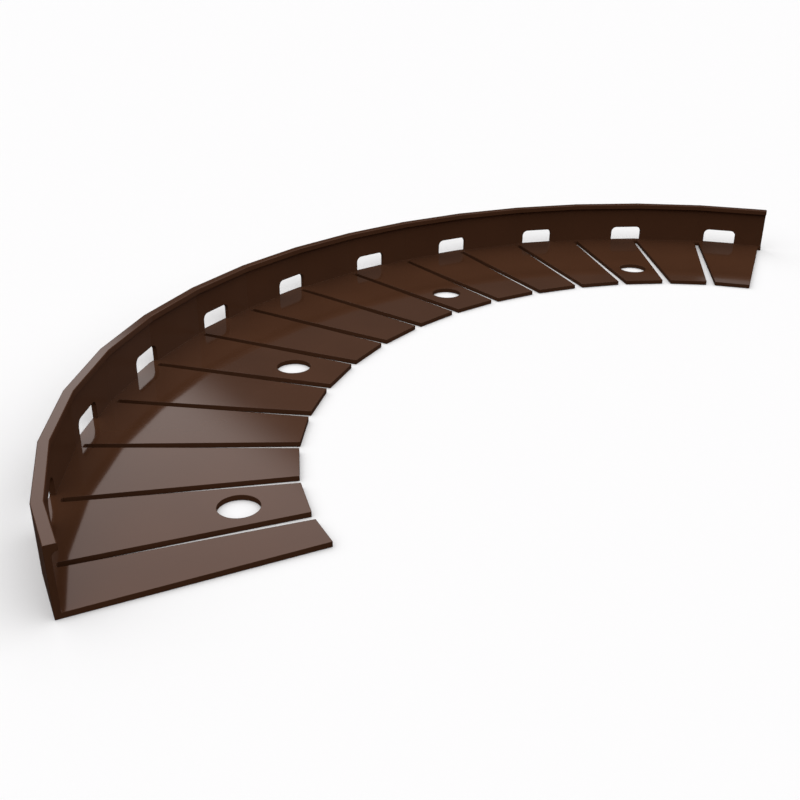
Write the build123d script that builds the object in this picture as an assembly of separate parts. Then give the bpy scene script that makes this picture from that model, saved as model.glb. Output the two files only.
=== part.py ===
"""Curved stair nosing: one bendable L-section strip, slit along its leg and set to a radius.

The wall stands on the outside of the curve and carries a thickened lip along its top edge.
The leg lies flat inside the curve. Slits divide it into fingers, and the wall bends only at
the slits, so the plan is a polygon with one straight facet for each finger. The curve is
gentlest in the middle and tightens a little towards both ends. The strip is sawn off within
its first finger and in the slit after its last one. A round hole passes through every fourth
finger, and windows are punched through the foot of the wall.

Frame: millimetres, +Z up, +X along the chord from the first finger to the last, the
underside of the leg on Z = 0, and the origin under the middle of the bounding box.
"""
import math
import os

from build123d import *

# Strip section
wall_height = 25.0
wall_thickness = 2.0
leg_width = 85.0
leg_thickness = 2.0
lip_overhang = 2.0
lip_height = 2.5
edge_radius = 0.4

# Fingers
finger_pitch = 40.0
finger_count = 16
first_facet_length = 25.0
last_facet_length = 40.0

# Radius of the wall's outer corners in the middle of the strip and at its ends
middle_radius = 302.0
end_radius = 216.0

# Slits between the fingers
slit_root_width = 2.8
slit_mouth_width = 4.8
slit_root_offset = 2.4
slit_corner_radius = 0.6

# Fixing holes in the leg
hole_diameter = 15.0
hole_setback = 62.0
first_holed_finger = 2
hole_every = 4

# Windows in the wall, spaced along it from where a full first finger would start
window_length = 19.0
window_height = 8.2
window_corner_radius = 3.0
window_spacing = 60.0
first_window = 74.0

# How far a cutting tool runs past the faces that it cuts
overshoot = 5.0


def bend_for(radius):
    """Bend in degrees at each slit that sets the facets to a radius."""
    return 2 * math.degrees(math.asin(finger_pitch / 2 / radius))


def bend_after(finger):
    """Bend in degrees at the slit after a finger, growing from the middle slit outwards."""
    middle_slit = finger_count / 2
    outward = (finger - middle_slit) / (middle_slit - 1)
    growth = bend_for(end_radius) - bend_for(middle_radius)
    return bend_for(middle_radius) + growth * outward**2


def facet_plane(finger):
    """Plane at the start of a facet: x runs along the wall, y into the curve and z down."""
    heading = sum(bend_after(passed) for passed in range(1, finger_count)) / 2
    start = Vector(0, 0, 0)
    along = Vector(1, 0, 0).rotate(Axis.Z, heading)
    for passed in range(1, finger):
        start += along * finger_pitch
        along = along.rotate(Axis.Z, -bend_after(passed))
    return Plane(origin=start, x_dir=along, z_dir=(0, 0, -1))


def facet_point(finger, along, inward, height=0.0):
    """Point at a distance along a facet, a distance into the curve and a height."""
    return facet_plane(finger).from_local_coords(Vector(along, inward, -height))


def slit_plane(finger):
    """Plane at the bend after a finger: x halves the bend along the wall, y into the curve."""
    before, after = facet_plane(finger), facet_plane(finger + 1)
    return Plane(origin=after.origin, x_dir=before.x_dir + after.x_dir, z_dir=after.z_dir)


def strip_section():
    """L-section with its lip. x points into the curve and y points up."""
    lip_width = wall_thickness + lip_overhang
    lip_base = wall_height - lip_height
    cove_foot = lip_base - lip_overhang
    with BuildSketch() as section:
        with BuildLine():
            Polyline(
                (wall_thickness, cove_foot),
                (wall_thickness, leg_thickness),
                (leg_width, leg_thickness),
                (leg_width, 0),
                (0, 0),
                (0, wall_height),
                (lip_width, wall_height),
                (lip_width, lip_base),
            )
            ThreePointArc(
                (lip_width, lip_base),
                (
                    lip_width - lip_overhang * math.sin(math.pi / 4),
                    cove_foot + lip_overhang * math.sin(math.pi / 4),
                ),
                (wall_thickness, cove_foot),
            )
        make_face()
        fillet(section.vertices().group_by(Axis.Y)[-1], edge_radius)
    return section.sketch


def bent_strip():
    """The strip before it is cut, mitred at every bend."""
    corners = [facet_point(1, finger_pitch - first_facet_length, 0)]
    corners += [facet_point(finger, 0, 0) for finger in range(2, finger_count + 1)]
    corners += [facet_point(finger_count, last_facet_length, 0)]
    first = facet_plane(1)
    end_plane = Plane(origin=corners[0], x_dir=first.y_dir, z_dir=-first.x_dir)
    section = end_plane * strip_section()
    return sweep(section, path=Polyline(*corners), transition=Transition.RIGHT)


def slit_tool(finger):
    """Tapered slit after a finger, from beside the wall out through the leg's free edge.

    The slit after the last finger takes the rest of the leg with it.
    """
    root = wall_thickness + slit_root_offset
    mouth = leg_width / math.cos(math.radians(bend_after(finger) / 2))
    end = mouth + overshoot
    widening = (slit_mouth_width - slit_root_width) / (mouth - root)
    side_at_root = slit_root_width / 2
    side_at_end = (slit_mouth_width + widening * overshoot) / 2
    rest_of_leg = leg_width if finger == finger_count else 0
    with BuildSketch(slit_plane(finger)) as outline:
        with BuildLine():
            Polyline(
                (-side_at_root, root),
                (side_at_root + rest_of_leg, root),
                (side_at_end + rest_of_leg, end),
                (-side_at_end, end),
                close=True,
            )
        make_face()
        fillet(outline.vertices().group_by(Axis.Y)[0], slit_corner_radius)
    return extrude(outline.sketch, amount=leg_thickness + overshoot, both=True)


def hole_tool(finger):
    """Round fixing hole in the middle of a finger."""
    foot = facet_point(finger, finger_pitch / 2, hole_setback, -overshoot)
    depth = leg_thickness + 2 * overshoot
    return Pos(*foot) * Cylinder(
        hole_diameter / 2, depth, align=(Align.CENTER, Align.CENTER, Align.MIN)
    )


def window_tool(distance):
    """Window through the foot of the wall, level with the leg's top face, with two round corners."""
    finger = int(distance // finger_pitch) + 1
    along = distance - (finger - 1) * finger_pitch
    facet = facet_plane(finger)
    foot = facet_point(finger, along, -overshoot, leg_thickness)
    face_plane = Plane(origin=foot, x_dir=facet.x_dir, z_dir=facet.y_dir)
    with BuildSketch(face_plane) as outline:
        Rectangle(window_length, window_height, align=(Align.CENTER, Align.MIN))
        fillet(outline.vertices().group_by(Axis.Y)[-1], window_corner_radius)
    return extrude(outline.sketch, amount=wall_thickness + 2 * overshoot)


def window_distances():
    """Places of the windows along the wall, as many as the strip has room for."""
    strip_end = (finger_count - 1) * finger_pitch + last_facet_length
    room = strip_end - first_window - window_length / 2
    count = int(room // window_spacing) + 1
    return [first_window + window_spacing * number for number in range(count)]


def nosing_profile():
    """The finished strip, standing on its leg with the origin under its middle."""
    slits = [slit_tool(finger) for finger in range(1, finger_count + 1)]
    holes = [
        hole_tool(finger)
        for finger in range(first_holed_finger, finger_count + 1, hole_every)
    ]
    windows = [window_tool(distance) for distance in window_distances()]
    strip = bent_strip() - slits - holes - windows
    middle = strip.bounding_box().center()
    return strip.moved(Pos(-middle.X, -middle.Y, 0))


os.makedirs("parts", exist_ok=True)
export_step(nosing_profile(), "parts/nosing_profile.step")
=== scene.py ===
"""Photograph view of the curved stair nosing: brown powder-coated metal in a plain white studio."""

import math

import bpy
from mathutils import Matrix, Vector

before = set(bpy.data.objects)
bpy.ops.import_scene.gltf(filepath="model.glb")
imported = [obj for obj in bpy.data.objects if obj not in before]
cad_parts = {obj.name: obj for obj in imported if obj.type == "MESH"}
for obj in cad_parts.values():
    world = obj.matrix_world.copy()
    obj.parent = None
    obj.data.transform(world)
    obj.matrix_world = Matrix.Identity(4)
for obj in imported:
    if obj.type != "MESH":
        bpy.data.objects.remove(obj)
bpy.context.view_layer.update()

MM = 0.001

# Coating: faint clouds of tone and gloss, fine grain, glossier on level faces than upright ones
COAT_COLOUR = (0.075, 0.031, 0.0155)
COAT_TINT = (1.0, 0.72, 0.66)
LEVEL_FACE = {"roughness": 0.08, "specular": 0.54}
UPRIGHT_FACE = {"roughness": 0.32, "specular": 0.09}
UPRIGHT_BELOW = 0.85
LEVEL_ABOVE = 0.98
ROUGHNESS_SPREAD = 0.02
REFRACTION = 1.5
CLOUD_SCALE = 28.0
CLOUD_DETAIL = 4.0
CLOUD_RAMP = ((0.3, 0.93), (0.7, 1.07))
GRAIN_SCALE = 1400.0
GRAIN_DETAIL = 2.0
GRAIN_STRENGTH = 0.03
GRAIN_HEIGHT = 0.05 * MM
EDGE_SOFTNESS = 0.25 * MM
EDGE_SAMPLES = 4

# Floor: white to the camera, dark in reflections
FLOOR_SIZE = 40
FLOOR_DROP = 0.2 * MM
FLOOR_SEEN = (0.97, 0.98, 1.0, 1)
FLOOR_BOUNCE = (0.04, 0.04, 0.04, 1)

# Studio: a bright dome with one dim stretch behind the object, dark near the floor.
# Each light fills the side of the sky that it lies towards, up to a straight soft edge.
DOME_LEVEL = 1.14
DIM_LEVEL = 0.02
DARK_BELOW = 0.278
FULL_ABOVE = 0.290
LIGHTS = (
    {"towards": (-0.711, 0.160, 0.685), "dark": -0.028, "full": 0.028, "share": 1.0},
    {"towards": (0.174, -0.985, 0.0), "dark": -0.1, "full": 0.1, "share": 1.0},
    {"towards": (0.363, -0.932, 0.0), "dark": -0.01, "full": 0.01, "share": 0.25},
    {"towards": (0.0, 0.0, 1.0), "dark": 0.275, "full": 0.35, "share": 0.055},
)
LIGHT_TINT = (1.0, 0.985, 0.97)
BACKDROP_COLOUR = (0.984, 0.984, 0.984)

# Camera
CAMERA_PLACE = Vector((-359.82, -271.42, 175.40)) * MM
CAMERA_HEADING = 38.485
CAMERA_PITCH = 25.380
CAMERA_ROLL = 0.796
FOCAL_PIXELS = 970.6
IMAGE_SIZE = 800
CENTRE_OFFSET = 12
SENSOR_WIDTH = 36.0
CLIP_RANGE = (0.01, 100.0)


def new_nodes(tree):
    tree.nodes.clear()

    def add(kind, **values):
        node = tree.nodes.new(kind)
        for name, value in values.items():
            setattr(node, name, value)
        return node

    return add, tree.links.new


def coated_metal():
    """Brown powder coat."""
    material = bpy.data.materials.new("coated_metal")
    material.use_nodes = True
    add, link = new_nodes(material.node_tree)
    out = add("ShaderNodeOutputMaterial")
    shader = add("ShaderNodeBsdfPrincipled")
    shader.inputs["IOR"].default_value = REFRACTION
    shader.inputs["Specular Tint"].default_value = (*COAT_TINT, 1)
    link(shader.outputs[0], out.inputs[0])
    place = add("ShaderNodeTexCoord")

    cloud = add("ShaderNodeTexNoise")
    cloud.inputs["Scale"].default_value = CLOUD_SCALE
    cloud.inputs["Detail"].default_value = CLOUD_DETAIL
    link(place.outputs["Object"], cloud.inputs["Vector"])

    tone = add("ShaderNodeValToRGB")
    for stop, (position, factor) in zip(tone.color_ramp.elements, CLOUD_RAMP):
        stop.position = position
        stop.color = (*[c * factor for c in COAT_COLOUR], 1)
    link(cloud.outputs["Fac"], tone.inputs[0])
    link(tone.outputs[0], shader.inputs["Base Color"])

    shape = add("ShaderNodeNewGeometry")
    split = add("ShaderNodeSeparateXYZ")
    flatness = add("ShaderNodeMath", operation="ABSOLUTE")
    link(shape.outputs["Normal"], split.inputs[0])
    link(split.outputs["Z"], flatness.inputs[0])

    def by_flatness(name):
        value = add("ShaderNodeMapRange")
        value.inputs["From Min"].default_value = UPRIGHT_BELOW
        value.inputs["From Max"].default_value = LEVEL_ABOVE
        value.inputs["To Min"].default_value = UPRIGHT_FACE[name]
        value.inputs["To Max"].default_value = LEVEL_FACE[name]
        link(flatness.outputs[0], value.inputs["Value"])
        return value.outputs[0]

    link(by_flatness("specular"), shader.inputs["Specular IOR Level"])
    spread = add("ShaderNodeMapRange")
    spread.inputs["To Min"].default_value = -ROUGHNESS_SPREAD
    spread.inputs["To Max"].default_value = ROUGHNESS_SPREAD
    link(cloud.outputs["Fac"], spread.inputs["Value"])
    gloss = add("ShaderNodeMath", operation="ADD")
    link(by_flatness("roughness"), gloss.inputs[0])
    link(spread.outputs[0], gloss.inputs[1])
    link(gloss.outputs[0], shader.inputs["Roughness"])

    grain = add("ShaderNodeTexNoise")
    grain.inputs["Scale"].default_value = GRAIN_SCALE
    grain.inputs["Detail"].default_value = GRAIN_DETAIL
    link(place.outputs["Object"], grain.inputs["Vector"])
    soft = add("ShaderNodeBevel", samples=EDGE_SAMPLES)
    soft.inputs["Radius"].default_value = EDGE_SOFTNESS
    bump = add("ShaderNodeBump")
    bump.inputs["Strength"].default_value = GRAIN_STRENGTH
    bump.inputs["Distance"].default_value = GRAIN_HEIGHT
    link(grain.outputs["Fac"], bump.inputs["Height"])
    link(soft.outputs[0], bump.inputs["Normal"])
    link(bump.outputs[0], shader.inputs["Normal"])
    return material


def dress_strip():
    strip = bpy.data.objects["nosing_profile"]
    material = coated_metal()
    for slot in strip.material_slots:
        slot.material = material


def studio_floor():
    """Plain white floor that keeps the object's soft shadow."""
    bpy.ops.mesh.primitive_plane_add(size=FLOOR_SIZE, location=(0, 0, -FLOOR_DROP))
    floor = bpy.context.object
    floor.name = "floor"
    material = bpy.data.materials.new("floor_white")
    material.use_nodes = True
    add, link = new_nodes(material.node_tree)
    out = add("ShaderNodeOutputMaterial")
    shader = add("ShaderNodeBsdfDiffuse")
    path = add("ShaderNodeLightPath")
    tone = add("ShaderNodeMix", data_type="RGBA")
    tone.inputs["A"].default_value = FLOOR_BOUNCE
    tone.inputs["B"].default_value = FLOOR_SEEN
    link(path.outputs["Is Camera Ray"], tone.inputs["Factor"])
    link(tone.outputs["Result"], shader.inputs["Color"])
    link(shader.outputs[0], out.inputs[0])
    floor.data.materials.append(material)


def studio_light():
    """Soft dome of lights with straight edges, and a white backdrop for the camera."""
    world = bpy.data.worlds.new("studio")
    bpy.context.scene.world = world
    world.use_nodes = True
    add, link = new_nodes(world.node_tree)
    out = add("ShaderNodeOutputWorld")
    place = add("ShaderNodeTexCoord")

    def side(towards, dark, full):
        dot = add("ShaderNodeVectorMath", operation="DOT_PRODUCT")
        dot.inputs[1].default_value = Vector(towards).normalized()
        link(place.outputs["Generated"], dot.inputs[0])
        ramp = add("ShaderNodeMapRange", interpolation_type="SMOOTHSTEP")
        ramp.inputs["From Min"].default_value = dark
        ramp.inputs["From Max"].default_value = full
        link(dot.outputs["Value"], ramp.inputs["Value"])
        return ramp.outputs[0]

    brightest = None
    for light in LIGHTS:
        share = add("ShaderNodeMath", operation="MULTIPLY")
        share.inputs[1].default_value = light["share"]
        link(side(light["towards"], light["dark"], light["full"]), share.inputs[0])
        if brightest is None:
            brightest = share.outputs[0]
            continue
        brighter = add("ShaderNodeMath", operation="MAXIMUM")
        link(brightest, brighter.inputs[0])
        link(share.outputs[0], brighter.inputs[1])
        brightest = brighter.outputs[0]
    raised = add("ShaderNodeMath", operation="MULTIPLY")
    link(brightest, raised.inputs[0])
    link(side((0, 0, 1), DARK_BELOW, FULL_ABOVE), raised.inputs[1])
    level = add("ShaderNodeMapRange")
    level.inputs["To Min"].default_value = DIM_LEVEL
    level.inputs["To Max"].default_value = DOME_LEVEL
    link(raised.outputs[0], level.inputs["Value"])
    dome = add("ShaderNodeBackground")
    dome.inputs["Color"].default_value = (*LIGHT_TINT, 1)
    link(level.outputs[0], dome.inputs["Strength"])
    backdrop = add("ShaderNodeBackground")
    path = add("ShaderNodeLightPath")
    backdrop.inputs["Color"].default_value = (*BACKDROP_COLOUR, 1)
    mix = add("ShaderNodeMixShader")
    link(path.outputs["Is Camera Ray"], mix.inputs[0])
    link(dome.outputs[0], mix.inputs[1])
    link(backdrop.outputs[0], mix.inputs[2])
    link(mix.outputs[0], out.inputs[0])


def photo_camera():
    """Camera at the photograph's viewing angle."""
    heading, pitch, roll = (math.radians(a) for a in (CAMERA_HEADING, CAMERA_PITCH, CAMERA_ROLL))
    forward = Vector(
        (math.cos(heading) * math.cos(pitch), math.sin(heading) * math.cos(pitch), -math.sin(pitch))
    )
    level_right = Vector((math.sin(heading), -math.cos(heading), 0))
    level_up = level_right.cross(forward)
    right = level_right * math.cos(roll) + level_up * math.sin(roll)
    up = level_up * math.cos(roll) - level_right * math.sin(roll)
    data = bpy.data.cameras.new("camera")
    data.sensor_width = SENSOR_WIDTH
    data.lens = FOCAL_PIXELS / IMAGE_SIZE * data.sensor_width
    data.shift_x = -CENTRE_OFFSET / IMAGE_SIZE
    data.clip_start, data.clip_end = CLIP_RANGE
    camera = bpy.data.objects.new("camera", data)
    bpy.context.scene.collection.objects.link(camera)
    turn = Matrix((right, up, -forward)).transposed().to_4x4()
    camera.matrix_world = Matrix.Translation(CAMERA_PLACE) @ turn
    bpy.context.scene.camera = camera


dress_strip()
studio_floor()
studio_light()
photo_camera()
bpy.context.scene.view_settings.view_transform = "Standard"
